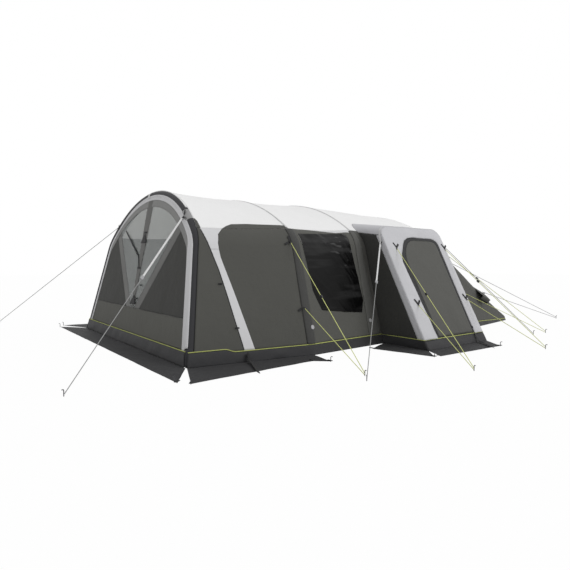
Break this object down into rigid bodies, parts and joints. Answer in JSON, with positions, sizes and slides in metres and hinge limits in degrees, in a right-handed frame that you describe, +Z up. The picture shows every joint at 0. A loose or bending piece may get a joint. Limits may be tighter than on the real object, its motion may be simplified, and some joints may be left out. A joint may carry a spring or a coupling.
{
  "type": "air-beam tunnel tent",
  "caption": "Family tunnel tent held up by inflated arches, with a leaning front gable, a tinted side window, a side porch with a zipped door, and a sloping bedroom tail.",
  "frame": {"origin": "on the ground, under the middle of the sewn-in floor", "axes": "+X along the tent from the front gable to the tail, +Y from the porch side to the far side, +Z up"},
  "size_m": [9.3823, 6.4882, 2.1298],
  "materials": {
    "roof_cloth": "matt woven polyester",
    "wall_cloth": "matt woven polyester",
    "pale_cloth": "matt woven polyester",
    "sleeve_cloth": "matt woven polyester",
    "ground_cloth": "coated heavy polyester",
    "tinted_film": "smooth tinted film",
    "clear_film": "smooth clear film",
    "lime_trim": "piped edging",
    "black_webbing": "woven webbing",
    "lime_cord": "braided cord",
    "grey_cord": "braided cord and webbing",
    "black_plastic": "moulded",
    "valve_plastic": "moulded",
    "bladder_film": "smooth film",
    "peg_steel": "plain rod"
  },
  "bodies": {
    "tent": {"roof_front": "roof_cloth", "roof_middle": "roof_cloth", "roof_rear": "roof_cloth", "near_front_wall": "wall_cloth", "near_tail_wall": "wall_cloth", "near_rear_wall": "wall_cloth", "far_front_wall": "wall_cloth", "far_middle_wall": "wall_cloth", "far_rear_wall": "wall_cloth", "far_tail_wall": "wall_cloth", "window_wall": "wall_cloth", "tail_panel": "wall_cloth", "porch_left_wall": "wall_cloth", "porch_right_wall": "wall_cloth", "gable_side_panels": "wall_cloth", "gable_lower_wall": "wall_cloth", "bedroom_partition": "wall_cloth", "tail_vent_hood": "wall_cloth", "porch_roof": "pale_cloth", "porch_front_frame": "pale_cloth", "gable_flaps": "pale_cloth", "front_beam_sleeve": "sleeve_cloth", "second_beam_sleeve": "sleeve_cloth", "third_beam_sleeve": "sleeve_cloth", "rear_beam_sleeve": "sleeve_cloth", "porch_beam_sleeve": "sleeve_cloth", "brace_sleeves": "sleeve_cloth", "gable_arch_band": "sleeve_cloth", "mud_walls": "ground_cloth", "skirts": "ground_cloth", "floor": "ground_cloth", "side_window": "tinted_film", "gable_window": "clear_film", "piping": "lime_trim", "guy_patches": "black_webbing", "gable_zip_strip": "black_webbing", "side_lines": "lime_cord", "porch_left_lines": "lime_cord", "porch_right_lines": "lime_cord", "rear_lines": "lime_cord", "front_lines": "grey_cord", "porch_corner_lines": "grey_cord", "tail_lines": "grey_cord", "buckles": "black_plastic", "valve_bodies": "valve_plastic", "front_bladder": "bladder_film", "second_bladder": "bladder_film", "third_bladder": "bladder_film", "rear_bladder": "bladder_film", "porch_bladder": "bladder_film", "pegs": "peg_steel"},
    "porch_door_body": {"porch_door": "wall_cloth"},
    "gable_zip_slider_body": {"gable_zip_slider": "black_plastic"},
    "door_zip_slider_body": {"door_zip_slider": "black_plastic"},
    "second_valve_cap_body": {"second_valve_cap": "valve_plastic"},
    "third_valve_cap_body": {"third_valve_cap": "valve_plastic"},
    "side_tensioner_body": {"side_tensioner": "black_plastic"},
    "porch_left_tensioner_body": {"porch_left_tensioner": "black_plastic"},
    "porch_right_tensioner_body": {"porch_right_tensioner": "black_plastic"},
    "rear_tensioner_body": {"rear_tensioner": "black_plastic"}
  },
  "joints": [
    {"name": "porch_door_swing", "type": "hinge", "parent": "tent", "child": "porch_door_body", "pos_m": [-0.08, -2.79975, 0.15], "axis": [0, -0.4717, -0.8817], "range_deg": [0, 90]},
    {"name": "gable_zip_slide", "type": "slide", "parent": "tent", "child": "gable_zip_slider_body", "axis": [0.1961, 0, 0.9806], "range_m": [0, 1.1]},
    {"name": "door_zip_slide", "type": "slide", "parent": "tent", "child": "door_zip_slider_body", "axis": [0, 0.4717, 0.8817], "range_m": [0, 1.2]},
    {"name": "second_valve_cap_flip", "type": "hinge", "parent": "tent", "child": "second_valve_cap_body", "pos_m": [-1.68438, -2.11259, 0.3579], "axis": [-0.9984, -0.0553, 0.0148], "range_deg": [0, 110]},
    {"name": "third_valve_cap_flip", "type": "hinge", "parent": "tent", "child": "third_valve_cap_body", "pos_m": [-0.59438, -2.04793, 0.3579], "axis": [-0.9984, -0.0553, 0.0148], "range_deg": [0, 110]},
    {"name": "side_tensioner_slide", "type": "slide", "parent": "tent", "child": "side_tensioner_body", "axis": [-0.1016, -0.7358, -0.6696], "range_m": [-0.15, 0.15]},
    {"name": "porch_left_tensioner_slide", "type": "slide", "parent": "tent", "child": "porch_left_tensioner_body", "axis": [-0.3205, -0.7447, -0.5855], "range_m": [-0.15, 0.15]},
    {"name": "porch_right_tensioner_slide", "type": "slide", "parent": "tent", "child": "porch_right_tensioner_body", "axis": [0.0375, -0.753, -0.657], "range_m": [-0.15, 0.15]},
    {"name": "rear_tensioner_slide", "type": "slide", "parent": "tent", "child": "rear_tensioner_body", "axis": [0.5042, -0.5947, -0.6263], "range_m": [-0.15, 0.15]}
  ]
}
